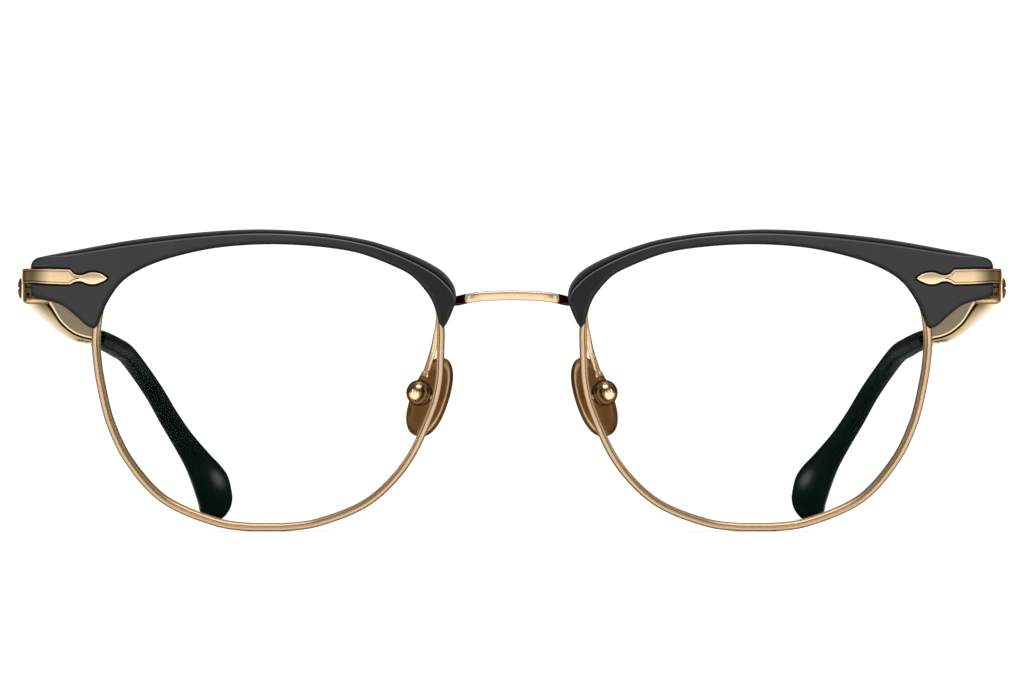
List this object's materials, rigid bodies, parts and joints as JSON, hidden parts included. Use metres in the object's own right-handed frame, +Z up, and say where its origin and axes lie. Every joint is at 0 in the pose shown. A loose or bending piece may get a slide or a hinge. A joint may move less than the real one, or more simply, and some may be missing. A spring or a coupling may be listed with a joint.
{
  "type": "browline eyeglasses",
  "caption": "Browline eyeglasses: black acetate brows over thin gold rims, clear lenses, a gold bridge, rocking nose pads and folding temples with black tips.",
  "frame": {"origin": "on the table under the middle of the glasses: bounding box bottom centre", "axes": "+Y from the front back along the temples, +X to the wearer's left, +Z up; the glasses stand open on their rims and temple tips"},
  "size_m": [0.1438, 0.1444, 0.0435],
  "materials": {
    "brushed_gold": "brushed gold plate, satin",
    "polished_gold": "polished gold plate",
    "pale_gold": "pale gold plate, bevelled and polished",
    "satin_gold": "satin bronze-gold",
    "matte_black_acetate": "matte, softly rounded edges",
    "gloss_black_acetate": "polished, very dark green-black",
    "clear_lens": "clear, anti-reflection coated"
  },
  "bodies": {
    "front": {"bridge": "polished_gold", "rim_left": "brushed_gold", "rim_right": "brushed_gold", "lens_left": "clear_lens", "lens_right": "clear_lens", "brow_left": "matte_black_acetate", "brow_right": "matte_black_acetate", "end_piece_left": "brushed_gold", "end_piece_right": "brushed_gold", "end_screw_left": "polished_gold", "end_screw_right": "polished_gold", "brow_tab_left": "polished_gold", "brow_tab_right": "polished_gold", "brow_screw_left": "polished_gold", "brow_screw_right": "polished_gold", "rim_block_upper_left": "polished_gold", "rim_block_upper_right": "polished_gold", "rim_block_lower_left": "polished_gold", "rim_block_lower_right": "polished_gold", "rim_screw_left": "polished_gold", "rim_screw_right": "polished_gold", "hinge_leaf_front_left": "polished_gold", "hinge_leaf_front_right": "polished_gold", "hinge_screw_left": "polished_gold", "hinge_screw_right": "polished_gold", "pad_arm_left": "polished_gold", "pad_arm_right": "polished_gold", "pad_box_left": "polished_gold", "pad_box_right": "polished_gold", "pad_screw_left": "polished_gold", "pad_screw_right": "polished_gold"},
    "left_temple": {"temple_left": "pale_gold", "temple_tip_left": "gloss_black_acetate", "hinge_leaf_temple_left": "polished_gold"},
    "right_temple": {"temple_right": "pale_gold", "temple_tip_right": "gloss_black_acetate", "hinge_leaf_temple_right": "polished_gold"},
    "left_nose_pad": {"nose_pad_left": "satin_gold", "pad_stem_left": "polished_gold"},
    "right_nose_pad": {"nose_pad_right": "satin_gold", "pad_stem_right": "polished_gold"}
  },
  "joints": [
    {"name": "left_temple_fold", "type": "hinge", "parent": "front", "child": "left_temple", "pos_m": [0.0682, -0.05938, 0.03595], "axis": [0, 0, 1], "range_deg": [0, 84]},
    {"name": "right_temple_fold", "type": "hinge", "parent": "front", "child": "right_temple", "pos_m": [-0.0682, -0.05938, 0.03595], "axis": [0, 0, -1], "range_deg": [0, 74]},
    {"name": "left_pad_rock", "type": "hinge", "parent": "front", "child": "left_nose_pad", "pos_m": [0.01307, -0.06295, 0.01992], "axis": [-0.6442, -0.7285, -0.233], "range_deg": [-10, 10]},
    {"name": "right_pad_rock", "type": "hinge", "parent": "front", "child": "right_nose_pad", "pos_m": [-0.01307, -0.06295, 0.01992], "axis": [0.6442, -0.7285, -0.233], "range_deg": [-10, 10]}
  ]
}
